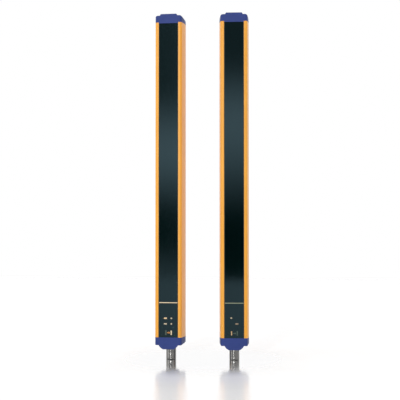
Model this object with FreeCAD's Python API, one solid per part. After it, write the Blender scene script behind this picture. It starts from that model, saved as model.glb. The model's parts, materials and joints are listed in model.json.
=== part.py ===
"""A safety light curtain: a receiver post and an emitter post, set down side by side. Millimetres.

Each post is an extruded aluminium housing with a long dark window in front, a moulded cap at each
end, optics and boards inside and a round connector below. A post has a frame of its own, in which
x runs across it, y from front to back and z up from the end of its connector.
"""
import FreeCAD, Part

import math
import os

Vec = FreeCAD.Vector
UP = Vec(0, 0, 1)

# The pair: the posts stand side by side, each turned a little outward about its own upright axis.
POST_SPACING = 76.0
SPLAY_DEG = 3.0
RECEIVER = -1
EMITTER = 1

# The housing's section: a flat front, flanks that lean out, and a slimmer back.
POST_WIDTH = 35.0
POST_DEPTH = 40.0
HALF_WIDTH = POST_WIDTH / 2
FRONT = -POST_DEPTH / 2
BACK = POST_DEPTH / 2
FRONT_HALF = 15.6
FLANK_FRONT = -7.5
FLANK_BACK = 1.5
REAR_HALF = 14.2
REAR_START = 4.2
FRONT_CORNER_R = 2.6
FLANK_KNEE_R = 30.0
STEP_R = 1.2
REAR_CORNER_R = 2.0

# Levels along a post, from the end of its connector.
CONNECTOR_REACH = 13.7
BOSS_DROP = 4.9
BOTTOM_CAP_SKIRT = 9.1
PROFILE_LENGTH = 374.4
TOP_CAP_HEIGHT = 10.1
BOSS_BOTTOM = CONNECTOR_REACH
CAP_SHOULDER = BOSS_BOTTOM + BOSS_DROP
PROFILE_BOTTOM = CAP_SHOULDER + BOTTOM_CAP_SKIRT
PROFILE_TOP = PROFILE_BOTTOM + PROFILE_LENGTH
POST_TOP = PROFILE_TOP + TOP_CAP_HEIGHT

# The window lies in a channel in the front, on two ledges, with a seal along each side.
CHANNEL_HALF = 11.75
WINDOW_RECESS = 0.5
WINDOW_THICKNESS = 2.2
SEAL_WIDTH = 0.7
WINDOW_FACE = FRONT + WINDOW_RECESS
LEDGE_FACE = WINDOW_FACE + WINDOW_THICKNESS
LEDGE_THICKNESS = 1.6
LEDGE_BACK = LEDGE_FACE + LEDGE_THICKNESS
LEDGE_REACH = 9.0
WINDOW_HALF = CHANNEL_HALF - SEAL_WIDTH

# The cavity behind the ledges, and the T-slot that brackets hold in the back.
CAVITY_HALF = 13.6
CAVITY_REAR_HALF = 11.9
CAVITY_SHELF = 0.0
CAVITY_BACK = 11.6
SLOT_MOUTH_HALF = 3.1
SLOT_LIP = 2.0
SLOT_CHAMBER_HALF = 5.9
SLOT_FLOOR = 14.0

# Screws that hold the caps: two behind at each end, while two tabs hold each cap in front.
PORT_X = 10.1
PORT_Y = 16.4
SCREW_R = 1.45
SCREW_HOLE_R = 1.6
SCREW_HEAD_R = 2.6
SCREW_HEAD_HEIGHT = 2.0
SCREW_BITE = 9.0
HEAD_RECESS_R = 2.8
HEAD_SIDES = 12
SHANK_SIDES = 8
HEX_SOCKET_R = 1.3
HEX_SOCKET_DEPTH = 1.2
TAB_X = 11.3
TAB_HALF = 1.6
TAB_THICKNESS = 1.4
TAB_REACH = 1.6

# Flat gaskets between the housing and its caps.
GASKET_THICKNESS = 0.8
GASKET_INSET = 1.0
GASKET_BAND = 1.0
GASKET_BACK = 14.2

# The top cap: shoulders, a raised middle, and a thin lip that laps the head of the window.
TOP_SHOULDER = 8.3
TOP_SHOULDER_FALL = 0.3
TOP_SIDE_TAPER = 0.5
TOP_SHOULDER_R = 4.6
PLATEAU_HALF = 9.4
PLATEAU_FOOT_HALF = 10.3
WINDOW_LAP = 1.2
TOP_POCKET_HALF = 9.9
TOP_POCKET_FRONT = -16.5
TOP_POCKET_BACK = 10.5
TOP_POCKET_DEPTH = 5.0
TOP_SEAT = 5.2
CAP_EDGE_BEVEL = 0.5
PLATEAU_EDGE_R = 0.5

# The bottom cap: a skirt with cut-off lower corners, an apron in front and a boss for the connector.
SKIRT_CUT = 2.1
BOSS_HALF = 11.5
BOSS_WAIST_HALF = 9.3
BOSS_WAIST_DROP = 2.9
BOSS_FLAT_HALF = 6.3
APRON_THICKNESS = 4.2
BODY_HALF = 9.6
BODY_BACK = 12.6
BODY_CHAMFER = 2.4
FLOOR_THICKNESS = 3.0
BOTTOM_FLOOR = BOSS_BOTTOM + FLOOR_THICKNESS
BOTTOM_POCKET_HALF = 9.8
BOTTOM_POCKET_END = 12.0
BOTTOM_SEAT = 5.4
CONNECTOR_HOLE_R = 6.6

# The M12 connector: shell with a hexagonal flange, flat seal, insert, contacts and retainer plate.
CONNECTOR_R = 6.0
SHELL_NECK_R = 6.4
SHELL_BORE_R = 4.5
SHELL_CHAMFER = 0.5
FLANGE_R = 9.0
FLANGE_SEAL = 0.8
FLANGE_TOP = BOTTOM_FLOOR + 4.0
INSERT_FACE = 8.0
INSERT_COLLAR_R = 6.6
INSERT_BACK = FLANGE_TOP + 2.5
KEYWAY_R = 0.7
CONTACT_COUNT = 5
CONTACT_R = 0.5
CONTACT_TIP = 1.6
CONTACT_CIRCLE_R = 2.75
INNER_SIDES = 20
CONNECTOR_BOARD_HALF = 6.5
CONNECTOR_BOARD_CUT = 2.0
CONNECTOR_BOARD_THICKNESS = 1.2
PLATE_THICKNESS = 1.5
PLATE_HOLE_R = 6.9

# Optics, stacked from the ledges back to the shelf: lens strip, carrier, board with its diodes.
BEAM_COUNT = 16
BEAM_PITCH = 20.0
FIRST_BEAM = 86.0
OPTICS_BOTTOM = 74.0
OPTICS_TOP = PROFILE_TOP - 4.0
OPTICS_HALF = 9.4
LENS_PLATE = 1.6
LENS_RISE = 2.0
LENS_HALF = 8.0
LENS_CROWN_HALF = 4.0
CARRIER_FRONT = LEDGE_BACK + LENS_PLATE
CHAMBER_HALF = 8.2
CHAMBER_NECK_HALF = 2.4
BOARD_THICKNESS = 1.6
MAIN_BOARD_HALF = 13.3
MAIN_BOARD_FACE = CAVITY_SHELF - BOARD_THICKNESS
DIODE_HALF = 1.6
DIODE_HEIGHT = 1.8
DIODE_SLOPE = 0.4

# The control board behind the foot of the window, and what is on it.
CONTROL_HALF = 9.4
CONTROL_BOTTOM = 29.5
CONTROL_TOP = 70.0
CONTROL_FACE = -9.0
CONTROL_BACK = CONTROL_FACE + BOARD_THICKNESS
CHIPS = [
    (-3.0, 46.0, 7.0, 7.0, 1.4),
    (4.6, 45.0, 4.0, 5.0, 1.2),
    (-4.0, 56.0, 5.0, 4.0, 1.6),
    (5.6, 38.0, 3.2, 6.0, 2.4),
]
RIBBON_THICKNESS = 0.4
RIBBON_HALF = 4.0
RIBBON_END = 5.0
RIBBON_STRAIGHT = 1.0
CONNECTOR_RIBBON_HALF = 2.2
SPRING_THICKNESS = 0.4
SPRING_HALF = 2.0
SPRING_LEVEL = 50.0
SPRING_FOOT = 3.0
SPRING_RISE = 8.0

# Status lights, as (x, height above the bottom cap): square-ended and round light guides.
LIGHT_LEVELS = {
    RECEIVER: {"square": [(-3.4, 22.6), (-3.4, 16.0)], "round": [(3.7, 22.6), (3.7, 16.0)]},
    EMITTER: {"square": [(3.1, 16.7)], "round": [(-3.4, 23.5)]},
}
SQUARE_LIGHT = (3.8, 2.1)
ROUND_LIGHT_R = 1.2
ROUND_LIGHT_SIDES = 12
STATUS_LED = (2.0, 1.2, 1.0)
STATUS_LED_ROOM = 0.3
MASK_BOTTOM = 40.0
MASK_TOP = 56.0
MASK_HALF = 8.6

# The line that marks the foot of the protective field, let into the window's face.
FIELD_MARK_LEVEL = 68.7
FIELD_MARK_HEIGHT = 1.0
FIELD_MARK_DEPTH = 0.3

NAMES = {RECEIVER: "receiver", EMITTER: "emitter"}
DIODE_NAMES = {RECEIVER: "photodiodes", EMITTER: "infrared_leds"}
OVERRUN = 1.0

VIEWS = {
    "top": lambda u, v: Vec(u, v, 0),
    "front": lambda u, v: Vec(u, 0, v),
    "side": lambda u, v: Vec(0, u, v),
}


def corner_arc(before, corner, after, radius):
    """Start, middle and end of the arc of this radius that rounds a corner."""
    to_before = (before - corner).normalize()
    to_after = (after - corner).normalize()
    half_angle = to_before.getAngle(to_after) / 2
    reach = radius / math.tan(half_angle)
    inward = (to_before + to_after).normalize()
    middle = corner + inward * (radius / math.sin(half_angle) - radius)
    return corner + to_before * reach, middle, corner + to_after * reach


def outline(corners, view="top"):
    """A closed face through (u, v, radius) corners, where a radius above zero rounds the corner."""
    points = [VIEWS[view](u, v) for u, v, radius in corners]
    stops = []
    for index, (u, v, radius) in enumerate(corners):
        point = points[index]
        if radius > 0:
            stops.append(corner_arc(points[index - 1], point, points[(index + 1) % len(points)], radius))
        else:
            stops.append((point, None, point))
    edges = []
    for index, (start, middle, end) in enumerate(stops):
        if middle is not None:
            edges.append(Part.Arc(start, middle, end).toShape())
        edges.append(Part.makeLine(end, stops[(index + 1) % len(stops)][0]))
    return Part.Face(Part.Wire(edges))


def both_sides(half):
    """The corners of a half outline, followed by their mirror images back to the start."""
    return half + [(-u, v, radius) for u, v, radius in reversed(half)]


def rectangle(half_width, low, high, radius=0.0):
    """Corners of a rectangle centred on x, between two values of the other direction."""
    return both_sides([(half_width, low, radius), (half_width, high, radius)])


def prism(corners, bottom, top):
    """A solid of constant section between two levels."""
    face = outline(corners)
    face.translate(Vec(0, 0, bottom))
    return face.extrude(UP * (top - bottom))


def slab(corners, front, back):
    """A front-view outline carried from one depth to another."""
    face = outline(corners, "front")
    face.translate(Vec(0, front, 0))
    return face.extrude(Vec(0, back - front, 0))


def ring_corners(sides, u, v, radius):
    """Corners of an even outline of this many sides round a point."""
    corners = []
    for index in range(sides):
        angle = 2 * math.pi * index / sides
        corners.append((u + radius * math.cos(angle), v + radius * math.sin(angle), 0))
    return corners


def turned(half_section):
    """A solid of revolution about z from (radius, level) corners."""
    face = outline([(radius, level, 0) for radius, level in half_section], "front")
    return face.revolve(Vec(0, 0, 0), UP, 360)


def bar(sides, x, y, radius, bottom, top):
    """An upright bar of this many sides, with its corners on a circle."""
    return prism(ring_corners(sides, x, y, radius), min(bottom, top), max(bottom, top))


def screw_places():
    """The places of the two screws that hold a cap."""
    return [(-PORT_X, PORT_Y), (PORT_X, PORT_Y)]


def post_corners(inset=0.0, back=BACK):
    """The outline that the housing and both caps share, drawn in by an inset."""
    return both_sides([
        (FRONT_HALF - inset, FRONT + inset, FRONT_CORNER_R),
        (HALF_WIDTH - inset, FLANK_FRONT, FLANK_KNEE_R),
        (HALF_WIDTH - inset, FLANK_BACK, STEP_R),
        (REAR_HALF - inset, REAR_START, STEP_R),
        (REAR_HALF - inset, back - inset, REAR_CORNER_R),
    ])


def slot_corners():
    """The T-slot in the back, open to the rear."""
    return both_sides([
        (SLOT_CHAMBER_HALF, SLOT_FLOOR, 0),
        (SLOT_CHAMBER_HALF, BACK - SLOT_LIP, 0),
        (SLOT_MOUTH_HALF, BACK - SLOT_LIP, 0),
        (SLOT_MOUTH_HALF, BACK + OVERRUN, 0),
    ])


def profile():
    """The extruded housing: window channel, ledges, cavity, screw ports and T-slot in one section."""
    channel = outline(rectangle(CHANNEL_HALF, FRONT - OVERRUN, LEDGE_FACE))
    cavity = outline(both_sides([
        (LEDGE_REACH, LEDGE_FACE - WINDOW_RECESS, 0),
        (LEDGE_REACH, LEDGE_BACK, 0),
        (CAVITY_HALF, LEDGE_BACK, 0),
        (CAVITY_HALF, CAVITY_SHELF, 0),
        (CAVITY_REAR_HALF, CAVITY_SHELF, 0),
        (CAVITY_REAR_HALF, CAVITY_BACK, 0),
    ]))
    cuts = [channel, cavity, outline(slot_corners())]
    for x, y in screw_places():
        cuts.append(outline(ring_corners(SHANK_SIDES, x, y, SCREW_R)))
    housing = outline(post_corners()).cut(cuts).Faces[0].extrude(UP * PROFILE_LENGTH)
    housing.translate(Vec(0, 0, PROFILE_BOTTOM))
    return housing


def light_guide(kind, x, z, front, back):
    """One light guide, square-ended or round, between two depths."""
    if kind == "round":
        return slab(ring_corners(ROUND_LIGHT_SIDES, x, z, ROUND_LIGHT_R), front, back)
    width, height = SQUARE_LIGHT
    corner = Vec(x - width / 2, front, z - height / 2)
    return Part.makeBox(width, back - front, height, corner)


def light_guides(side, front, back):
    """All light guides of a post between two depths."""
    guides = []
    for kind, places in LIGHT_LEVELS[side].items():
        for x, level in places:
            guides.append(light_guide(kind, x, PROFILE_BOTTOM + level, front, back))
    return guides


def field_mark():
    """The thin inlaid line across the window."""
    corner = Vec(-WINDOW_HALF, WINDOW_FACE, FIELD_MARK_LEVEL - FIELD_MARK_HEIGHT / 2)
    return Part.makeBox(2 * WINDOW_HALF, FIELD_MARK_DEPTH, FIELD_MARK_HEIGHT, corner)


def window(side):
    """The dark window, with holes for the light guides and a shallow bed for the line."""
    pane = slab(rectangle(WINDOW_HALF, PROFILE_BOTTOM, PROFILE_TOP), WINDOW_FACE, LEDGE_FACE)
    holes = light_guides(side, WINDOW_FACE - OVERRUN, LEDGE_FACE + OVERRUN)
    return pane.cut(holes + [field_mark()])


def window_seals():
    """The two strips between the window's long edges and the housing."""
    strips = []
    for sign in (-1, 1):
        corner = Vec(min(sign * WINDOW_HALF, sign * CHANNEL_HALF), WINDOW_FACE, PROFILE_BOTTOM)
        strips.append(Part.makeBox(SEAL_WIDTH, WINDOW_THICKNESS, PROFILE_LENGTH, corner))
    return strips


def gasket_corners(inset):
    """The line of the gasket: along the housing's wall and in front of its T-slot."""
    return [(x, y, 0) for x, y, radius in post_corners(inset, GASKET_BACK)]


def gasket(bottom):
    """A flat gasket between the end of the housing and a cap."""
    top = bottom + GASKET_THICKNESS
    return prism(gasket_corners(GASKET_INSET), bottom, top).cut(
        prism(gasket_corners(GASKET_INSET + GASKET_BAND), bottom, top))


def slot_notch(bottom, top):
    """The room that a cap leaves behind the housing's T-slot, so that slot nuts can enter."""
    return prism(rectangle(SLOT_CHAMBER_HALF, SLOT_FLOOR, BACK + OVERRUN), bottom, top)


def cap_screws(end, grip, direction):
    """The screws of one cap, with hexagon sockets: heads up for direction 1 and down for -1."""
    seat = end + direction * grip
    top = seat + direction * SCREW_HEAD_HEIGHT
    tip = end - direction * SCREW_BITE
    screws = []
    for x, y in screw_places():
        head = bar(HEAD_SIDES, x, y, SCREW_HEAD_R, seat, top)
        shank = bar(SHANK_SIDES, x, y, SCREW_R, tip, seat)
        socket = bar(6, x, y, HEX_SOCKET_R, top - direction * HEX_SOCKET_DEPTH, top)
        screws.append(head.fuse(shank).cut(socket))
    return screws


def front_tabs(low, high):
    """The two tabs of a cap that reach into the housing behind the window's ledges."""
    tabs = []
    for sign in (-1, 1):
        corner = Vec(sign * TAB_X - TAB_HALF, LEDGE_BACK, low)
        tabs.append(Part.makeBox(2 * TAB_HALF, TAB_THICKNESS, high - low, corner))
    return tabs


def screw_room(seat, end, joint):
    """The clearance holes of a cap's screws from its joint to its end, and recesses from the seat on."""
    room = []
    for x, y in screw_places():
        room.append(bar(SHANK_SIDES, x, y, SCREW_HOLE_R, joint, end))
        room.append(bar(HEAD_SIDES, x, y, HEAD_RECESS_R, seat, end))
    return room


def edged(solid, bottom, top):
    """The part of a solid between two levels, with its front and back upper edges bevelled."""
    side = outline([
        (FRONT, bottom, 0),
        (BACK, bottom, 0),
        (BACK, top - CAP_EDGE_BEVEL, 0),
        (BACK - CAP_EDGE_BEVEL, top, 0),
        (FRONT + CAP_EDGE_BEVEL, top, 0),
        (FRONT, top - CAP_EDGE_BEVEL, 0),
    ], "side")
    side.translate(Vec(-HALF_WIDTH, 0, 0))
    return solid.common(side.extrude(Vec(POST_WIDTH, 0, 0)))


def top_cap():
    """The cap at the head: one moulding with shoulders, a raised middle and a lip over the window."""
    shoulder = PROFILE_TOP + TOP_SHOULDER
    shoulders = slab(both_sides([
        (HALF_WIDTH, PROFILE_TOP, 0),
        (HALF_WIDTH - TOP_SIDE_TAPER, shoulder - TOP_SHOULDER_FALL, TOP_SHOULDER_R),
        (PLATEAU_FOOT_HALF, shoulder, 0),
    ]), FRONT, BACK)
    shoulders = shoulders.common(prism(post_corners(), PROFILE_TOP, POST_TOP))
    shoulders = edged(shoulders, PROFILE_TOP, shoulder)
    plateau = edged(slab(both_sides([
        (PLATEAU_FOOT_HALF, PROFILE_TOP, 0),
        (PLATEAU_FOOT_HALF, shoulder, 0),
        (PLATEAU_HALF, POST_TOP, PLATEAU_EDGE_R),
    ]), FRONT, BACK), PROFILE_TOP, POST_TOP)
    lip_corner = Vec(-CHANNEL_HALF, FRONT, PROFILE_TOP - WINDOW_LAP)
    lip = Part.makeBox(2 * CHANNEL_HALF, WINDOW_RECESS, WINDOW_LAP, lip_corner)
    pocket = prism(
        rectangle(TOP_POCKET_HALF, TOP_POCKET_FRONT, TOP_POCKET_BACK),
        PROFILE_TOP, PROFILE_TOP + TOP_POCKET_DEPTH)
    cuts = [pocket, gasket(PROFILE_TOP), slot_notch(PROFILE_TOP, POST_TOP)]
    cuts += screw_room(PROFILE_TOP + TOP_SEAT, POST_TOP, PROFILE_TOP)
    tabs = front_tabs(PROFILE_TOP - TAB_REACH, PROFILE_TOP + GASKET_THICKNESS)
    return shoulders.fuse([plateau, lip] + tabs).removeSplitter().cut(cuts)


def boss_silhouette(half, front, back):
    """The bowl-shaped front view of the boss, carried from one depth to another."""
    low = BOSS_BOTTOM
    high = CAP_SHOULDER + OVERRUN
    narrowing = half / BOSS_HALF
    waist = Vec(BOSS_WAIST_HALF * narrowing, front, CAP_SHOULDER - BOSS_WAIST_DROP)
    foot = Vec(BOSS_FLAT_HALF * narrowing, front, low)
    rim = Vec(half, front, CAP_SHOULDER)
    top = Vec(half, front, high)
    edges = [
        Part.makeLine(top, rim),
        Part.Arc(rim, waist, foot).toShape(),
        Part.makeLine(foot, opposite(foot)),
        Part.Arc(opposite(foot), opposite(waist), opposite(rim)).toShape(),
        Part.makeLine(opposite(rim), opposite(top)),
        Part.makeLine(opposite(top), top),
    ]
    return Part.Face(Part.Wire(edges)).extrude(Vec(0, back - front, 0))


def opposite(point):
    """The mirror image of a point across the middle of the post."""
    return Vec(-point.x, point.y, point.z)


def boss():
    """The apron in front, and behind it the narrower body that surrounds the connector."""
    apron = boss_silhouette(BOSS_HALF, FRONT, FRONT + APRON_THICKNESS)
    body = boss_silhouette(BODY_HALF, FRONT, BODY_BACK)
    side = outline([
        (FRONT, CAP_SHOULDER + OVERRUN, 0),
        (FRONT, BOSS_BOTTOM, 0),
        (BODY_BACK - BODY_CHAMFER, BOSS_BOTTOM, 0),
        (BODY_BACK, BOSS_BOTTOM + BODY_CHAMFER, 0),
        (BODY_BACK, CAP_SHOULDER + OVERRUN, 0),
    ], "side")
    side.translate(Vec(-HALF_WIDTH, 0, 0))
    return apron.fuse(body.common(side.extrude(Vec(POST_WIDTH, 0, 0))))


def pocket_block(top):
    """What fills the bottom cap's pocket from the connector's flange up to a level."""
    return prism(rectangle(BOTTOM_POCKET_HALF, -BOTTOM_POCKET_END, BOTTOM_POCKET_END), FLANGE_TOP, top)


def bottom_cap():
    """The cap at the foot: skirt, boss, well for the connector's flange, and two screw seats."""
    skirt = prism(post_corners(), CAP_SHOULDER, PROFILE_BOTTOM).common(slab(both_sides([
        (HALF_WIDTH, PROFILE_BOTTOM, 0),
        (HALF_WIDTH, CAP_SHOULDER + SKIRT_CUT, 0),
        (HALF_WIDTH - SKIRT_CUT, CAP_SHOULDER, 0),
    ]), FRONT, BACK))
    cuts = [
        pocket_block(PROFILE_BOTTOM),
        bar(6, 0, 0, FLANGE_R, BOTTOM_FLOOR, FLANGE_TOP),
        bar(INNER_SIDES, 0, 0, CONNECTOR_HOLE_R, BOSS_BOTTOM, BOTTOM_FLOOR),
        gasket(PROFILE_BOTTOM - GASKET_THICKNESS),
        slot_notch(CAP_SHOULDER, PROFILE_BOTTOM),
    ]
    cuts += screw_room(PROFILE_BOTTOM - BOTTOM_SEAT, CAP_SHOULDER, PROFILE_BOTTOM)
    tabs = front_tabs(PROFILE_BOTTOM - GASKET_THICKNESS, PROFILE_BOTTOM + TAB_REACH)
    return skirt.fuse([boss()] + tabs).removeSplitter().cut(cuts)


def connector_shell():
    """The plated shell: a chamfered sleeve below the cap, a neck, and a hexagonal flange in the well."""
    sleeve = turned([
        (0, 0),
        (CONNECTOR_R - SHELL_CHAMFER, 0),
        (CONNECTOR_R, SHELL_CHAMFER),
        (CONNECTOR_R, BOSS_BOTTOM),
        (0, BOSS_BOTTOM),
    ])
    neck = bar(INNER_SIDES, 0, 0, SHELL_NECK_R, BOSS_BOTTOM, FLANGE_TOP)
    flange = bar(6, 0, 0, FLANGE_R, BOTTOM_FLOOR + FLANGE_SEAL, FLANGE_TOP)
    bore = bar(INNER_SIDES, 0, 0, SHELL_BORE_R, 0, FLANGE_TOP)
    return sleeve.fuse([neck, flange]).cut(bore)


def connector_seal():
    """The flat seal between the shell's flange and the floor of the cap."""
    top = BOTTOM_FLOOR + FLANGE_SEAL
    seal = bar(6, 0, 0, FLANGE_R, BOTTOM_FLOOR, top)
    return seal.cut(bar(INNER_SIDES, 0, 0, CONNECTOR_HOLE_R, BOTTOM_FLOOR, top))


def connector_contacts():
    """The contact pins on the insert's face: one in the middle and the others round it."""
    pins = [bar(SHANK_SIDES, 0, 0, CONTACT_R, CONTACT_TIP, INSERT_FACE)]
    for x, y, radius in ring_corners(CONTACT_COUNT - 1, 0, 0, CONTACT_CIRCLE_R):
        pins.append(bar(SHANK_SIDES, x, y, CONTACT_R, CONTACT_TIP, INSERT_FACE))
    return pins


def connector_insert():
    """The insulating insert that holds the contacts, with its keyway and hexagonal collar."""
    body = bar(INNER_SIDES, 0, 0, SHELL_BORE_R, INSERT_FACE, FLANGE_TOP)
    collar = bar(6, 0, 0, INSERT_COLLAR_R, FLANGE_TOP, INSERT_BACK)
    x, y, radius = ring_corners(2 * (CONTACT_COUNT - 1), 0, 0, SHELL_BORE_R)[1]
    return body.fuse(collar).cut(bar(SHANK_SIDES, x, y, KEYWAY_R, INSERT_FACE, BOSS_BOTTOM))


def connector_board():
    """The small board behind the insert, with its corners cut off."""
    half = CONNECTOR_BOARD_HALF
    inner = half - CONNECTOR_BOARD_CUT
    corners = both_sides([(inner, -half, 0), (half, -inner, 0), (half, inner, 0), (inner, half, 0)])
    return prism(corners, INSERT_BACK, INSERT_BACK + CONNECTOR_BOARD_THICKNESS)


def retainer_plate():
    """The plate, pressed into the cap's pocket, that holds the connector's flange in its well."""
    top = FLANGE_TOP + PLATE_THICKNESS
    return pocket_block(top).cut(bar(6, 0, 0, PLATE_HOLE_R, FLANGE_TOP, top))


def beam_levels():
    """The level of each beam."""
    return [FIRST_BEAM + BEAM_PITCH * index for index in range(BEAM_COUNT)]


def tapered(level, front, front_half, back, back_half):
    """A square block on the beam at a level, of one half width in front and another behind."""
    return Part.makeWedge(
        -front_half, front, level - front_half, level - back_half, -back_half,
        front_half, back, level + front_half, level + back_half, back_half)


def lens_strip():
    """One clear moulding, flat in front, that bulges rearward into a lens for each beam."""
    plate = slab(rectangle(OPTICS_HALF, OPTICS_BOTTOM, OPTICS_TOP), LEDGE_BACK, CARRIER_FRONT)
    lenses = []
    for level in beam_levels():
        crown = CARRIER_FRONT + LENS_RISE
        lenses.append(tapered(level, CARRIER_FRONT, LENS_HALF, crown, LENS_CROWN_HALF))
    return plate.fuse(lenses)


def optics_carrier():
    """The black moulding that keeps the beams apart: a tapered square chamber behind each lens."""
    outer = rectangle(OPTICS_HALF, OPTICS_BOTTOM, OPTICS_TOP)
    carrier = slab(outer, CARRIER_FRONT, MAIN_BOARD_FACE)
    chambers = []
    for level in beam_levels():
        chambers.append(tapered(level, CARRIER_FRONT, CHAMBER_HALF, MAIN_BOARD_FACE, CHAMBER_NECK_HALF))
    return carrier.cut(chambers)


def diodes():
    """One diode with sloping sides on the main board, in the neck of each chamber."""
    face = MAIN_BOARD_FACE - DIODE_HEIGHT
    return [
        tapered(level, face, DIODE_HALF - DIODE_SLOPE, MAIN_BOARD_FACE, DIODE_HALF)
        for level in beam_levels()
    ]


def main_board():
    """The long board behind the optics, which rests on the shelves of the housing."""
    return slab(rectangle(MAIN_BOARD_HALF, OPTICS_BOTTOM, OPTICS_TOP), MAIN_BOARD_FACE, CAVITY_SHELF)


def control_board():
    """The board behind the status lights."""
    return slab(rectangle(CONTROL_HALF, CONTROL_BOTTOM, CONTROL_TOP), CONTROL_FACE, CONTROL_BACK)


def board_chips():
    """The larger parts on the back of the control board."""
    chips = []
    for x, z, width, height, thickness in CHIPS:
        corner = Vec(x - width / 2, CONTROL_BACK, z - height / 2)
        chips.append(Part.makeBox(width, thickness, height, corner))
    return chips


def status_leds(side, room=0.0):
    """A small diode behind each light guide, or the room that it needs in the mask."""
    width, height, thickness = STATUS_LED
    leds = []
    for places in LIGHT_LEVELS[side].values():
        for x, level in places:
            low = PROFILE_BOTTOM + level - height / 2
            corner = Vec(x - width / 2 - room, CONTROL_FACE - thickness, low - room)
            leds.append(Part.makeBox(width + 2 * room, thickness, height + 2 * room, corner))
    return leds


def indicator_mask(side):
    """The black block that keeps the light guides apart behind the window."""
    block = slab(rectangle(MASK_HALF, MASK_BOTTOM, MASK_TOP), LEDGE_FACE, CONTROL_FACE)
    guides = light_guides(side, LEDGE_FACE, CONTROL_FACE - STATUS_LED[2])
    return block.cut(guides + status_leds(side, STATUS_LED_ROOM))


def strip(path, thickness, half_width):
    """A strip folded along a side-view path of (y, z) points, with mitred folds."""
    points = [Vec(0, y, z) for y, z in path]
    ahead = [(after - before).normalize() for before, after in zip(points, points[1:])]
    near = []
    far = []
    for index, point in enumerate(points):
        arriving = ahead[max(index - 1, 0)]
        leaving = ahead[min(index, len(ahead) - 1)]
        middle = (arriving + leaving).normalize()
        mitre = Vec(0, -middle.z, middle.y) * (thickness / 2 / middle.dot(leaving))
        near.append(point + mitre)
        far.append(point - mitre)
    face = outline([(point.y, point.z, 0) for point in near + far[::-1]], "side")
    face.translate(Vec(-half_width, 0, 0))
    return face.extrude(Vec(2 * half_width, 0, 0))


def board_ribbon():
    """The ribbon from the control board to the main board."""
    near = CONTROL_BACK + RIBBON_THICKNESS / 2
    far = CAVITY_SHELF + RIBBON_THICKNESS / 2
    path = [
        (near, CONTROL_TOP - RIBBON_STRAIGHT - RIBBON_END),
        (near, CONTROL_TOP - RIBBON_STRAIGHT),
        (far, OPTICS_BOTTOM - RIBBON_STRAIGHT),
        (far, OPTICS_BOTTOM + RIBBON_END),
    ]
    return strip(path, RIBBON_THICKNESS, RIBBON_HALF)


def connector_ribbon():
    """The ribbon from the connector's board to the control board."""
    foot = INSERT_BACK + CONNECTOR_BOARD_THICKNESS
    near = CONTROL_BACK + RIBBON_THICKNESS / 2
    path = [
        (near / 2, foot),
        (near / 2, foot + RIBBON_STRAIGHT),
        (near, CONTROL_BOTTOM + RIBBON_STRAIGHT),
        (near, CONTROL_BOTTOM + RIBBON_END),
    ]
    return strip(path, RIBBON_THICKNESS, CONNECTOR_RIBBON_HALF)


def earth_spring():
    """The leaf spring that earths the control board to the housing and presses it forward."""
    near = CONTROL_BACK + SPRING_THICKNESS / 2
    far = CAVITY_BACK - SPRING_THICKNESS / 2
    path = [
        (far, SPRING_LEVEL),
        (far, SPRING_LEVEL + SPRING_FOOT),
        (near, SPRING_LEVEL + SPRING_FOOT + SPRING_RISE),
        (near, SPRING_LEVEL + 2 * SPRING_FOOT + SPRING_RISE),
    ]
    return strip(path, SPRING_THICKNESS, SPRING_HALF)


def post_pieces(side):
    """Every piece of one post by name, in the post's own frame."""
    screws = cap_screws(PROFILE_TOP, TOP_SEAT, 1) + cap_screws(PROFILE_BOTTOM, BOTTOM_SEAT, -1)
    return {
        "profile": profile(),
        "window": window(side),
        "window_seals": window_seals(),
        "field_mark": field_mark(),
        "top_cap": top_cap(),
        "bottom_cap": bottom_cap(),
        "top_gasket": gasket(PROFILE_TOP),
        "bottom_gasket": gasket(PROFILE_BOTTOM - GASKET_THICKNESS),
        "cap_screws": screws,
        "connector_shell": connector_shell(),
        "connector_seal": connector_seal(),
        "connector_insert": connector_insert(),
        "connector_contacts": connector_contacts(),
        "connector_board": connector_board(),
        "retainer_plate": retainer_plate(),
        "lens_strip": lens_strip(),
        "optics_carrier": optics_carrier(),
        DIODE_NAMES[side]: diodes(),
        "main_board": main_board(),
        "control_board": control_board(),
        "board_chips": board_chips(),
        "status_leds": status_leds(side),
        "light_guides": light_guides(side, WINDOW_FACE, CONTROL_FACE - STATUS_LED[2]),
        "indicator_mask": indicator_mask(side),
        "board_ribbon": board_ribbon(),
        "connector_ribbon": connector_ribbon(),
        "earth_spring": earth_spring(),
    }


def set_down(piece, side):
    """Turn a piece with its post and move it to the post's place in the pair."""
    shape = Part.makeCompound(piece) if isinstance(piece, list) else piece.copy()
    shape.rotate(Vec(0, 0, 0), UP, side * SPLAY_DEG)
    shape.translate(Vec(side * POST_SPACING / 2, 0, 0))
    return shape


def main():
    os.makedirs("parts", exist_ok=True)
    for side, name in NAMES.items():
        for piece_name, piece in post_pieces(side).items():
            set_down(piece, side).exportStep(f"parts/{name}_{piece_name}.step")


main()
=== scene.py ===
"""The looks of a safety light curtain: a receiver post and an emitter post on a pale floor.

All lengths are in metres. Each post has a frame of its own, in which x runs across it, y from front
to back and z up; post_frame() says where that frame stands in the pair.
"""

import json
import math

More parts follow.
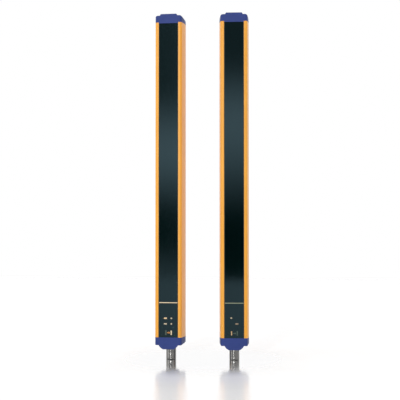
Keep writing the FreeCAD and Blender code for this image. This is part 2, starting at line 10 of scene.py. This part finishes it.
import bmesh
import bpy
import numpy as np
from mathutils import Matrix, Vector


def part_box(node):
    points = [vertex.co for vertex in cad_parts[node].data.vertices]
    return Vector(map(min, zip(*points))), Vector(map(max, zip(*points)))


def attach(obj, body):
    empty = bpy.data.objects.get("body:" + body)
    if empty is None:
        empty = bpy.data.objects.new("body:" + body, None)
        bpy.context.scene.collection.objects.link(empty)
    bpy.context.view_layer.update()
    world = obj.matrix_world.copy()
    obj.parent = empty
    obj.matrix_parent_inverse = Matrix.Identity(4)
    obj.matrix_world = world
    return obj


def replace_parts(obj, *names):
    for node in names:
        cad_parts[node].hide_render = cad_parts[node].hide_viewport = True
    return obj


MM = 0.001
SHARP_EDGE = math.radians(35.0)
WINDOW_FACE = -19.5 * MM     # where a window's face lies in front of its post's axis
TURNS = 72                   # points round a lathe form
NOISE_LOW, NOISE_HIGH = 0.3, 0.7     # the part of a noise's range that most of it falls in

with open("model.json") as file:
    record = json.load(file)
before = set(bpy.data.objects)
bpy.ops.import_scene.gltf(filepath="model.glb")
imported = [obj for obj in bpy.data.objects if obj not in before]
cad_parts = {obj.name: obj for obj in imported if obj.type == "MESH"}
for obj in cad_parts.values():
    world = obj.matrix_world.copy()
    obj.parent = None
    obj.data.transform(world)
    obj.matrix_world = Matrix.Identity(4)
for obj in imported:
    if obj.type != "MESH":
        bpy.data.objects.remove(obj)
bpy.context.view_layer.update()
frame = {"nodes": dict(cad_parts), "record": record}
nodes = frame["nodes"]
mounts = {mount["name"]: mount for mount in frame["record"]["mounts"]}
POSTS = ("receiver", "emitter")


# --- meshes -------------------------------------------------------------------------------------

def post_frame(post):
    """The foot of a post's axis and its turn about it, from its connector and its flat back."""
    low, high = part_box(f"{post}_connector_shell")
    back = mounts[f"{post}_back"]["axis"]
    return np.array([(low[0] + high[0]) / 2, (low[1] + high[1]) / 2, low[2]]), math.atan2(-back[0], back[1])


def to_pair(points, post):
    """Points of a post's own frame, turned and moved to the post's place: p' = foot + R(turn) p."""
    foot, turn = post_frame(post)
    c, s = math.cos(turn), math.sin(turn)
    turned = np.stack([
        points[..., 0] * c - points[..., 1] * s,
        points[..., 0] * s + points[..., 1] * c,
        points[..., 2],
    ], axis=-1)
    return turned + foot


def grid_faces(rows, columns, round_rows, round_columns, start=0):
    """Quads of a grid of points; a round direction joins its last line to its first."""
    i = np.arange(rows if round_rows else rows - 1)
    j = np.arange(columns if round_columns else columns - 1)
    i, j = np.meshgrid(i, j, indexing="ij")
    ahead_i = (i + 1) % rows
    ahead_j = (j + 1) % columns
    quads = np.stack([
        i * columns + j, ahead_i * columns + j,
        ahead_i * columns + ahead_j, i * columns + ahead_j,
    ], axis=-1)
    return (quads.reshape(-1, 4) + start).tolist()


def add_piece(name, points, faces, material):
    """A smooth mesh object at the origin that rides on the root body."""
    mesh = bpy.data.meshes.new(name)
    mesh.from_pydata(np.asarray(points).reshape(-1, 3).tolist(), [], faces)
    mesh.validate()
    mesh.shade_smooth()
    mesh.materials.append(material)
    piece = bpy.data.objects.new(name, mesh)
    bpy.context.scene.collection.objects.link(piece)
    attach(piece, "root")
    return piece


def tidy_mesh(piece):
    """Merge the points that meet at a pole or a seam, turn all faces outward and mark sharp edges."""
    work = bmesh.new()
    work.from_mesh(piece.data)
    bmesh.ops.remove_doubles(work, verts=work.verts, dist=1e-6)
    bmesh.ops.dissolve_degenerate(work, edges=work.edges, dist=1e-7)
    bmesh.ops.recalc_face_normals(work, faces=work.faces)
    work.to_mesh(piece.data)
    work.free()
    piece.data.set_sharp_from_angle(angle=SHARP_EDGE)
    return piece


def round_angles(count=TURNS):
    """Evenly spaced angles of one full turn, as a column."""
    return np.linspace(0, 2 * math.pi, count, endpoint=False)[:, None]


def hexagon(angle, corner_radius):
    """Radius of a hexagon at an angle: apothem / cos(angle from the middle of its side)."""
    apothem = corner_radius * math.cos(math.pi / 6)
    return apothem / np.cos(np.mod(angle, math.pi / 3) - math.pi / 6)


# --- pieces -------------------------------------------------------------------------------------

def threaded_shell(post, material):
    """The connector's shell, with r(angle, z) = R - depth * |2 frac(z / pitch - angle / 2 pi) - 1|.

    The surface runs down the bore, round the lip, up the thread, over the neck and the hexagonal
    flange and back to the bore, so it closes both ways.
    """
    low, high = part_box(f"{post}_connector_shell")
    top = high[2] - low[2]
    bore, outer, neck, flange = 4.5 * MM, 6.0 * MM, 6.4 * MM, 9.0 * MM
    boss, well = 13.7 * MM, 17.5 * MM
    pitch, depth, steps_a_turn = 1.0 * MM, 0.11 * MM, 10
    thread_start, thread_end, plain_from = 0.55 * MM, 11.6 * MM, 12.0 * MM
    run = np.arange(thread_start, thread_end, pitch / steps_a_turn)
    inner_part = [
        (bore, top), (bore, 1.2 * MM), (bore, 0.5 * MM),
        (bore + 0.35 * MM, 0.05 * MM), (bore + 0.45 * MM, 0),
    ]
    lip = [(outer - 0.62 * MM, 0), (outer - 0.5 * MM, 0.06 * MM), (outer - 0.2 * MM, 0.35 * MM)]
    upper = [(outer, plain_from), (outer, boss), (neck, boss), (neck, well)]
    flange_part = [(flange, well), (flange, top)]
    profile = np.array(inner_part + lip + [(outer, z) for z in run] + upper + flange_part)
    count = len(profile)
    threaded = np.zeros(count)
    first = len(inner_part) + len(lip)
    threaded[first:first + len(run)] = np.clip(np.minimum(run - run[0], run[-1] - run) / pitch, 0, 1)
    six_sided = np.zeros(count)
    six_sided[-len(flange_part):] = 1
    angle = round_angles()
    radius, level = profile[:, 0][None, :], profile[:, 1][None, :]
    wave = np.abs(2 * np.mod(level / pitch - angle / (2 * math.pi), 1) - 1)
    radius = radius - depth * threaded[None, :] * wave
    radius = np.where(six_sided[None, :] > 0, hexagon(angle, flange), radius)
    points = np.stack([radius * np.cos(angle), radius * np.sin(angle), level + 0 * angle], axis=-1)
    piece = add_piece(f"{post}_threaded_shell", to_pair(points, post),
                      grid_faces(len(angle), count, True, True), material)
    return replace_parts(tidy_mesh(piece), f"{post}_connector_shell")


def socket_screw(centre, seat, direction):
    """One cap screw: a lathe profile whose socket follows a hexagon and whose rim has a fine knurl.

    r = R + knurl * cos(ridges * angle) on the head's side; r = hexagon(angle) in the socket.
    """
    head, height, shank, bite = 2.55 * MM, 2.0 * MM, 1.4 * MM, 14.0 * MM
    socket, sunk, knurl, ridges = 1.3 * MM, 1.2 * MM, 0.04 * MM, 36
    profile = np.array([
        (0, height - sunk - 0.3 * MM), (socket, height - sunk), (socket, height - 0.1 * MM),
        (socket + 0.12 * MM, height), (head - 0.3 * MM, height), (head - 0.08 * MM, height - 0.1 * MM),
        (head, height - 0.35 * MM), (head, 0.15 * MM), (head - 0.1 * MM, 0), (shank, 0),
        (shank, 0.6 * MM - bite), (0, -bite),
    ])
    in_socket = np.array([0, 1, 1, 0, 0, 0, 0, 0, 0, 0, 0, 0])
    on_rim = np.array([0, 0, 0, 0, 0, 0, 1, 1, 0, 0, 0, 0])
    angle = round_angles()
    radius = profile[:, 0][None, :] + knurl * on_rim[None, :] * np.cos(ridges * angle)
    radius = np.where(in_socket[None, :] > 0, hexagon(angle, socket), radius)
    level = seat + direction * profile[:, 1][None, :] + 0 * angle
    return np.stack([centre[0] + radius * np.cos(angle), centre[1] + radius * np.sin(angle), level], axis=-1)


def cap_screws(post, material):
    """The four cap screws of a post, two at each end, each standing on its seat in the cap."""
    aside, back, head_height = 10.1 * MM, 16.4 * MM, 2.0 * MM
    low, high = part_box(f"{post}_cap_screws")
    foot = post_frame(post)[0]
    seats = ((high[2] - head_height - foot[2], 1), (low[2] + head_height - foot[2], -1))
    points, faces = [], []
    for x in (-aside, aside):
        for seat, direction in seats:
            screw = socket_screw((x, back), seat, direction)
            rows, columns = screw.shape[:2]
            faces += grid_faces(rows, columns, True, False, len(points) * rows * columns)
            points.append(screw)
    piece = add_piece(f"{post}_socket_screws", to_pair(np.array(points), post), faces, material)
    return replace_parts(tidy_mesh(piece), f"{post}_cap_screws")


def dome(centre, half_width, half_height, power, face, rise, depth):
    """A light's lens: a superellipse |x/a|^p + |z/b|^p = u^p that bulges by rise * (1 - u^4).

    A short skirt behind it carries its rim back into the window.
    """
    u = np.array([0.0, 0.25, 0.5, 0.72, 0.88, 0.97, 1.0])
    angle = round_angles(40)
    c, s = np.cos(angle), np.sin(angle)
    reach = (np.abs(c) ** power + np.abs(s) ** power) ** (-1 / power)
    x = centre[0] + half_width * reach * c * u[None, :]
    z = centre[1] + half_height * reach * s * u[None, :]
    y = face - rise * (1 - u[None, :] ** 4) + 0 * angle
    ring = np.stack([x, y, z], axis=-1)
    skirt = ring[:, -1:, :] + np.array([0, depth, 0])
    back = np.stack([centre[0] + 0 * angle, face + depth + 0 * angle, centre[1] + 0 * angle], axis=-1)
    return np.concatenate([ring, skirt, back], axis=1)


def light_lenses(post, lenses, material, group):
    """The lenses that front some of a post's light guides; their sizes come in millimetres."""
    rise, skirt_depth = 0.22 * MM, 0.05 * MM
    points, faces = [], []
    for (x, z), half_width, half_height, power in lenses:
        centre = (x * MM, z * MM)
        lens = dome(centre, half_width * MM, half_height * MM, power, WINDOW_FACE, rise, skirt_depth)
        rows, columns = lens.shape[:2]
        faces += grid_faces(rows, columns, True, False, len(points) * rows * columns)
        points.append(lens)
    piece = add_piece(f"{post}_{group}", to_pair(np.array(points), post), faces, material)
    return tidy_mesh(piece)


def printed_film(outline):
    """A printed shape as a thin film on the window: its outline in front and again behind."""
    thickness = 0.04 * MM
    outline = np.array(outline) * MM
    near = np.stack([outline[:, 0], np.full(len(outline), WINDOW_FACE - thickness), outline[:, 1]], axis=-1)
    return np.concatenate([near, near + np.array([0, thickness, 0])])


def printed_marks(post, outlines, material, group):
    """Several printed shapes on a window, as one piece, each closed by its faces and sides."""
    points, faces, start = [], [], 0
    for outline in outlines:
        count = len(outline)
        points.append(printed_film(outline))
        near = list(range(start, start + count))
        far = list(range(start + count, start + 2 * count))
        faces += [near, far[::-1]]
        faces += [[near[k], far[k], far[(k + 1) % count], near[(k + 1) % count]] for k in range(count)]
        start += 2 * count
    piece = add_piece(f"{post}_{group}", to_pair(np.concatenate(points), post), faces, material)
    return tidy_mesh(piece)


def bar_outline(x, z, width, height):
    """A printed bar, as corners round its centre."""
    w, h = width / 2, height / 2
    return [(x - w, z - h), (x + w, z - h), (x + w, z + h), (x - w, z + h)]


def arrow_outline(x, z, length, head, shaft, direction):
    """A printed arrow that points along x, as corners round its middle."""
    d, tip = direction, length / 2
    neck = tip - head
    return [
        (x + d * tip, z), (x + d * neck, z + head), (x + d * neck, z + shaft / 2),
        (x - d * tip, z + shaft / 2), (x - d * tip, z - shaft / 2),
        (x + d * neck, z - shaft / 2), (x + d * neck, z - head),
    ]


# --- materials ----------------------------------------------------------------------------------

def node_material(name):
    """An empty material with its node tree, Principled shader and object coordinates."""
    material = bpy.data.materials.new(name)
    material.use_nodes = True
    tree = material.node_tree
    shader = tree.nodes["Principled BSDF"]
    place = tree.nodes.new("ShaderNodeTexCoord")
    return material, tree, shader, place.outputs["Object"]


def noise(tree, place, scale, detail=3.0, stretch=(1, 1, 1)):
    """Noise in object coordinates, finer where scale is higher, drawn out along an axis by stretch."""
    mapping = tree.nodes.new("ShaderNodeMapping")
    mapping.inputs["Scale"].default_value = stretch
    texture = tree.nodes.new("ShaderNodeTexNoise")
    texture.inputs["Scale"].default_value = scale
    texture.inputs["Detail"].default_value = detail
    tree.links.new(place, mapping.inputs["Vector"])
    tree.links.new(mapping.outputs["Vector"], texture.inputs["Vector"])
    return texture.outputs["Fac"]


def between(tree, factor, low, high, low_at=NOISE_LOW, high_at=NOISE_HIGH):
    """The factor mapped so that low_at gives low and high_at gives high."""
    node = tree.nodes.new("ShaderNodeMapRange")
    node.inputs["From Min"].default_value = low_at
    node.inputs["From Max"].default_value = high_at
    node.inputs["To Min"].default_value = low
    node.inputs["To Max"].default_value = high
    tree.links.new(factor, node.inputs["Value"])
    return node.outputs["Result"]


def tint(tree, factor, dark, light):
    """A colour that goes from dark to light over the middle of a noise's range."""
    ramp = tree.nodes.new("ShaderNodeValToRGB")
    ramp.color_ramp.elements[0].position = NOISE_LOW
    ramp.color_ramp.elements[0].color = (*dark, 1)
    ramp.color_ramp.elements[1].position = NOISE_HIGH
    ramp.color_ramp.elements[1].color = (*light, 1)
    tree.links.new(factor, ramp.inputs["Fac"])
    return ramp.outputs["Color"]


def relief(tree, shader, height, distance, edge=0.0):
    """A bump that stands up to a distance in metres, over edges rounded by a radius."""
    bump = tree.nodes.new("ShaderNodeBump")
    bump.inputs["Strength"].default_value = 1.0
    bump.inputs["Distance"].default_value = distance
    tree.links.new(height, bump.inputs["Height"])
    if edge:
        rounded = tree.nodes.new("ShaderNodeBevel")
        rounded.samples = 6
        rounded.inputs["Radius"].default_value = edge
        tree.links.new(rounded.outputs["Normal"], bump.inputs["Normal"])
    tree.links.new(bump.outputs["Normal"], shader.inputs["Normal"])


def moulded(name, dark, light, rough, grain=2600.0, height=6e-6, edge=0.0, **sockets):
    """Moulded or cast plastic, rubber or resin: a fine grain, and slow drifts of tone and gloss."""
    material, tree, shader, place = node_material(name)
    drift = noise(tree, place, 60.0)
    tree.links.new(tint(tree, drift, dark, light), shader.inputs["Base Color"])
    cloud = noise(tree, place, grain / 3)
    tree.links.new(between(tree, cloud, *rough), shader.inputs["Roughness"])
    relief(tree, shader, noise(tree, place, grain, 2.0), height, edge)
    for socket, value in sockets.items():
        shader.inputs[socket.replace("_", " ")].default_value = value
    return material


def metal(name, dark, light, rough, stretch=(1, 1, 1), scale=900.0, height=3e-6):
    """Bare or plated metal, with fine marks drawn out along the way that it was worked."""
    material, tree, shader, place = node_material(name)
    marks = noise(tree, place, scale, 4.0, stretch)
    tree.links.new(tint(tree, noise(tree, place, 150.0), dark, light), shader.inputs["Base Color"])
    tree.links.new(between(tree, marks, *rough), shader.inputs["Roughness"])
    relief(tree, shader, marks, height)
    shader.inputs["Metallic"].default_value = 1.0
    return material


def powder_coat():
    """The housing's yellow-orange coat: faint lengthwise die lines under a fine orange-peel film."""
    material, tree, shader, place = node_material("yellow_coat")
    lines = noise(tree, place, 1400.0, 2.0, (1, 1, 0.004))
    peel = noise(tree, place, 1900.0, 2.0)
    drift = noise(tree, place, 25.0)
    colour = tint(tree, drift, (0.735, 0.318, 0.022), (0.785, 0.35, 0.028))
    tree.links.new(colour, shader.inputs["Base Color"])
    tree.links.new(between(tree, peel, 0.30, 0.40), shader.inputs["Roughness"])
    both = tree.nodes.new("ShaderNodeMath")
    both.operation = "MULTIPLY_ADD"
    both.inputs[1].default_value = 0.5
    tree.links.new(lines, both.inputs[0])
    tree.links.new(peel, both.inputs[2])
    relief(tree, shader, both.outputs["Value"], 5e-6, 0.4 * MM)
    shader.inputs["Coat Weight"].default_value = 0.08
    shader.inputs["Coat Roughness"].default_value = 0.2
    return material


def dark_sheet():
    """The window: near-black infrared-pass acrylic with a polished, very slightly uneven face."""
    material, tree, shader, place = node_material("dark_acrylic")
    slow = noise(tree, place, 18.0, 2.0, (1, 1, 0.5))
    dust = noise(tree, place, 700.0, 4.0)
    colour = tint(tree, slow, (0.0002, 0.0030, 0.0030), (0.0004, 0.0040, 0.0038))
    tree.links.new(colour, shader.inputs["Base Color"])
    tree.links.new(between(tree, dust, 0.05, 0.09), shader.inputs["Roughness"])
    relief(tree, shader, slow, 4e-5, 0.1 * MM)
    shader.inputs["IOR"].default_value = 1.49
    shader.inputs["Specular Tint"].default_value = (0.46, 0.74, 0.88, 1)
    return material


def lamp_face(name, dark, light, glow, strength):
    """A frosted light guide with a cloudy tone and gloss, and the glow of the light behind it."""
    material, tree, shader, place = node_material(name)
    cloud = noise(tree, place, 900.0)
    tree.links.new(tint(tree, cloud, dark, light), shader.inputs["Base Color"])
    tree.links.new(between(tree, cloud, 0.25, 0.4), shader.inputs["Roughness"])
    tree.links.new(tint(tree, cloud, tuple(0.8 * c for c in glow), glow), shader.inputs["Emission Color"])
    shader.inputs["Emission Strength"].default_value = strength
    relief(tree, shader, cloud, 4e-6)
    return material


# --- dressing -----------------------------------------------------------------------------------

yellow = powder_coat()
blue = moulded("blue_moulding", (0.020, 0.039, 0.172), (0.025, 0.046, 0.197), (0.42, 0.52), 2200.0, 7e-6,
               0.35 * MM, Specular_IOR_Level=0.22)
acrylic = dark_sheet()
seal = moulded("seal_rubber", (0.012, 0.013, 0.010), (0.022, 0.022, 0.016), (0.55, 0.7), 1500.0, 8e-6)
cream = moulded("cream_inlay", (0.62, 0.48, 0.30), (0.70, 0.56, 0.37), (0.35, 0.5), 1800.0, 4e-6)
olive = moulded("olive_inlay", (0.17, 0.19, 0.115), (0.22, 0.24, 0.15), (0.35, 0.5), 1800.0, 4e-6)
zinc = metal("zinc_plate", (0.38, 0.38, 0.40), (0.50, 0.50, 0.50), (0.28, 0.42))
nickel = metal("nickel_plate", (0.165, 0.163, 0.157), (0.21, 0.207, 0.20), (0.16, 0.22), (1, 1, 6),
               1200.0, 2e-6)
gilt = metal("gilt_contact", (0.75, 0.52, 0.18), (0.85, 0.62, 0.26), (0.18, 0.3))
strip_steel = metal("strip_steel", (0.42, 0.41, 0.40), (0.52, 0.51, 0.49), (0.25, 0.4), (1, 8, 1))
black = moulded("black_moulding", (0.012, 0.012, 0.013), (0.022, 0.022, 0.023), (0.45, 0.6), 1600.0, 6e-6)
board = moulded("board_laminate", (0.018, 0.110, 0.045), (0.028, 0.150, 0.065), (0.25, 0.4), 900.0, 4e-6)
chips = moulded("chip_resin", (0.012, 0.012, 0.012), (0.03, 0.03, 0.03), (0.5, 0.65), 2400.0, 5e-6)
lens = moulded("lens_resin", (0.30, 0.05, 0.05), (0.38, 0.08, 0.07), (0.08, 0.14), 600.0, 2e-6,
               Transmission_Weight=0.6)
dark_resin = moulded("dark_resin", (0.05, 0.025, 0.045), (0.08, 0.04, 0.06), (0.1, 0.2), 700.0, 2e-6)
milky = moulded("milky_resin", (0.70, 0.70, 0.64), (0.82, 0.82, 0.76), (0.2, 0.35), 900.0, 2e-6)
film = moulded("ribbon_film", (0.22, 0.22, 0.23), (0.30, 0.30, 0.31), (0.35, 0.5), 1200.0, 3e-6)
warm_lamp = lamp_face("warm_lamp", (0.62, 0.43, 0.22), (0.80, 0.60, 0.36), (1.0, 0.58, 0.24), 0.14)
pale_lamp = lamp_face("pale_lamp", (0.38, 0.31, 0.20), (0.52, 0.44, 0.31), (0.9, 0.7, 0.42), 0.06)
dim_lamp = lamp_face("dim_lamp", (0.20, 0.145, 0.09), (0.30, 0.22, 0.15), (0.9, 0.55, 0.3), 0.01)
smoked = moulded("smoked_guide", (0.030, 0.026, 0.016), (0.045, 0.038, 0.024), (0.2, 0.32), 900.0, 3e-6)
amber_ink = moulded("amber_ink", (0.42, 0.27, 0.13), (0.52, 0.34, 0.17), (0.45, 0.6), 1500.0, 3e-6)
orange_ink = moulded("orange_ink", (0.60, 0.22, 0.03), (0.72, 0.30, 0.05), (0.45, 0.6), 1500.0, 3e-6)
grey_ink = moulded("grey_ink", (0.035, 0.060, 0.045), (0.055, 0.085, 0.062), (0.45, 0.6), 1500.0, 3e-6)

FINISHES = {
    "profile": yellow, "window": acrylic, "window_seals": seal, "field_mark": cream, "top_cap": blue,
    "bottom_cap": blue, "top_gasket": seal, "bottom_gasket": seal, "cap_screws": zinc,
    "connector_shell": nickel, "connector_seal": seal, "connector_insert": black, "connector_contacts": gilt,
    "connector_board": board, "retainer_plate": strip_steel, "lens_strip": lens, "optics_carrier": black,
    "photodiodes": dark_resin, "infrared_leds": dark_resin, "main_board": board, "control_board": board,
    "board_chips": chips, "status_leds": milky, "light_guides": smoked, "indicator_mask": black,
    "board_ribbon": film, "connector_ribbon": film, "earth_spring": strip_steel,
}
for name, node in nodes.items():
    for material_slot in node.material_slots:
        material_slot.material = olive if name == "emitter_field_mark" else FINISHES[name.split("_", 1)[1]]

# In millimetres: the bottom cap's upper edge, and the half width, half height and power of a light.
BASE = 27.7
SQUARE, ROUND = (1.8, 0.74, 5.0), (1.02, 0.78, 2.0)


def lights(places, form):
    """Centres and half sizes of lights from their places above the bottom cap."""
    return [((x, BASE + z), *form) for x, z in places]


for post in POSTS:
    threaded_shell(post, nickel)
    cap_screws(post, zinc)

light_lenses("receiver", lights([(-3.4, 22.6)], SQUARE), warm_lamp, "lit_lens")
light_lenses("receiver", lights([(-3.4, 16.0)], SQUARE), pale_lamp, "square_lens")
light_lenses("receiver", lights([(3.7, 22.6), (3.7, 16.0)], ROUND), pale_lamp, "round_lenses")
light_lenses("emitter", lights([(3.1, 16.7)], SQUARE), dim_lamp, "square_lens")
light_lenses("emitter", lights([(-3.4, 23.5)], ROUND), pale_lamp, "round_lens")

printed_marks("receiver", [bar_outline(3.6, BASE + 5.6, 1.6, 5.0)], cream, "bar_mark")
printed_marks("receiver", [arrow_outline(0.3, BASE + 5.6, 3.6, 1.5, 0.8, 1)], orange_ink, "arrow_mark")
printed_marks("receiver", [bar_outline(-2.9, BASE + 5.6, 1.8, 5.3)], grey_ink, "dim_mark")
printed_marks("emitter", [bar_outline(-3.1, BASE + 5.7, 1.4, 5.0)], amber_ink, "bar_mark")
printed_marks("emitter", [
    arrow_outline(0.5, BASE + 5.7, 3.6, 1.5, 0.8, 1), bar_outline(3.6, BASE + 5.7, 1.2, 5.3),
], grey_ink, "dim_mark")


# --- floor, surround, lights and camera -----------------------------------------------------------

FLOOR_HALF = 1.7
POLISH, POLISH_NEAR, POLISH_FAR = 0.97, 0.046, 0.147     # the floor's polish, and the stretch it fades over
GLOSS_FAR = 0.23                                         # the distance from which it is at its dullest
WHITE = (1, 1, 1, 1)
SIDE_TO_SIDE = (-0.15, 0.03)     # X of a direction, from the left set of bands to the right one
FRONT_TO_BACK = (-0.75, -0.1)    # Y of a direction, from the bands to the white behind the posts
BAND_PEAK = 2.1
GAP_EDGE, DIM, OVERHEAD = 0.04, 0.12, 0.6    # the gap's soft lower edge, and parts of the peak
LEFT_ROOM = {"glow": 0.36, "gap": (0.485, 0.505), "peak": 0.58, "end": 0.65}
RIGHT_ROOM = {"glow": 0.13, "gap": (0.445, 0.5), "peak": 0.61, "end": 0.68}


def room_stops(glow, gap, peak, end):
    """One side of the room by level, where 0.5 is the horizontal, 0 is 30 degrees down and 1 is 30 up.

    A glow low down, a dark gap, a bright panel that peaks and ends, and dimmer light overhead.
    """
    low, high = gap
    below = [(0.0, glow), (low - GAP_EDGE, glow)]
    return below + [(low, 0.0), (high, 0.0), (peak, 1.0), (end, DIM), (1.0, OVERHEAD)]


def bands(tree, level, stops):
    """Brightness that eases from stop to stop as the level goes from 0 to 1."""
    ramp = tree.nodes.new("ShaderNodeValToRGB")
    ramp.color_ramp.interpolation = "EASE"
    elements = ramp.color_ramp.elements
    for index, (position, value) in enumerate(stops):
        stop = elements[index] if index < 2 else elements.new(position)
        stop.position = position
        stop.color = (value, value, value, 1)
    tree.links.new(level, ramp.inputs["Fac"])
    return ramp.outputs["Color"]


def mixed(tree, factor, first, second):
    """A colour that goes from the first to the second with the factor; each is a socket or a colour."""
    node = tree.nodes.new("ShaderNodeMix")
    node.data_type = "RGBA"
    tree.links.new(factor, node.inputs["Factor"])
    for name, value in (("A", first), ("B", second)):
        socket = [one for one in node.inputs if one.name == name and one.type == "RGBA"][0]
        if isinstance(value, tuple):
            socket.default_value = value
        else:
            tree.links.new(value, socket)
    return [one for one in node.outputs if one.type == "RGBA"][0]


def pale_floor():
    """A smooth white floor: polished round the posts' feet, duller the further it is from them.

    Its polish falls as 1 - (3 t^2 - 2 t^3), t running from POLISH_NEAR to POLISH_FAR from the middle.
    """
    material, tree, shader, place = node_material("pale_floor")
    fine = noise(tree, place, 40.0)
    tree.links.new(tint(tree, fine, (0.94, 0.94, 0.945), (0.955, 0.955, 0.96)), shader.inputs["Base Color"])
    distance = tree.nodes.new("ShaderNodeVectorMath")
    distance.operation = "LENGTH"
    tree.links.new(place, distance.inputs[0])
    away = distance.outputs["Value"]
    polish = between(tree, away, POLISH, 0.0, POLISH_NEAR, POLISH_FAR)
    polish.node.interpolation_type = "SMOOTHSTEP"
    tree.links.new(polish, shader.inputs["Metallic"])
    tree.links.new(between(tree, away, 0.05, 0.22, POLISH_NEAR, GLOSS_FAR), shader.inputs["Roughness"])
    mesh = bpy.data.meshes.new("floor")
    corners = [(x * FLOOR_HALF, y * FLOOR_HALF, 0) for x, y in ((-1, -1), (1, -1), (1, 1), (-1, 1))]
    mesh.from_pydata(corners, [], [(0, 1, 2, 3)])
    mesh.materials.append(material)
    floor = bpy.data.objects.new("floor", mesh)
    bpy.context.scene.collection.objects.link(floor)


def surround():
    """A white room that is bright behind the posts and has soft bands of light and dark before them.

    The bands go by the height of the direction, and ease from one set to the other from left to right.
    """
    world = bpy.data.worlds.new("surround")
    bpy.context.scene.world = world
    world.use_nodes = True
    tree = world.node_tree
    tree.nodes.clear()
    place = tree.nodes.new("ShaderNodeTexCoord")
    parts = tree.nodes.new("ShaderNodeSeparateXYZ")
    tree.links.new(place.outputs["Generated"], parts.inputs["Vector"])
    level = between(tree, parts.outputs["Z"], 0.0, 1.0, -0.5, 0.5)
    across = between(tree, parts.outputs["X"], 0.0, 1.0, *SIDE_TO_SIDE)
    left, right = (bands(tree, level, room_stops(**room)) for room in (LEFT_ROOM, RIGHT_ROOM))
    before = mixed(tree, across, left, right)
    behind = between(tree, parts.outputs["Y"], 0.0, 1.0, *FRONT_TO_BACK)
    brightness = tree.nodes.new("ShaderNodeVectorMath")
    brightness.operation = "SCALE"
    brightness.inputs["Scale"].default_value = BAND_PEAK
    tree.links.new(before, brightness.inputs[0])
    room = mixed(tree, behind, brightness.outputs["Vector"], WHITE)
    seen = tree.nodes.new("ShaderNodeLightPath")
    shown = mixed(tree, seen.outputs["Is Camera Ray"], room, WHITE)
    background = tree.nodes.new("ShaderNodeBackground")
    background.inputs["Strength"].default_value = 1.0
    output = tree.nodes.new("ShaderNodeOutputWorld")
    tree.links.new(shown, background.inputs["Color"])
    tree.links.new(background.outputs["Background"], output.inputs["Surface"])


def area_light(name, place, aim, width, height, power):
    """A soft rectangular light that faces a point."""
    light = bpy.data.lights.new(name, "AREA")
    light.shape = "RECTANGLE"
    light.size, light.size_y, light.energy = width, height, power
    lamp = bpy.data.objects.new(name, light)
    lamp.location = place
    lamp.rotation_euler = (Vector(aim) - Vector(place)).to_track_quat("-Z", "Y").to_euler()
    bpy.context.scene.collection.objects.link(lamp)


def camera():
    """A camera before the pair, a little to the right and tipped slightly up."""
    lens = bpy.data.cameras.new("camera")
    lens.lens, lens.sensor_width = 84.6, 36.0
    eye = bpy.data.objects.new("camera", lens)
    eye.location = (0.1065, -1.125, 0.160)
    eye.rotation_euler = (math.radians(91.55), 0, math.radians(5.57))
    bpy.context.scene.collection.objects.link(eye)
    bpy.context.scene.camera = eye


pale_floor()
surround()
area_light("strip_light", (-0.5, -2.93, 1.0), (0, 0, 0.05), 0.08, 1.96, 20.0)
area_light("side_light", (-1.5, -0.6, 0.7), (0, 0, 0.2), 0.5, 0.9, 3.0)
camera()
bpy.context.scene.view_settings.view_transform = "Standard"
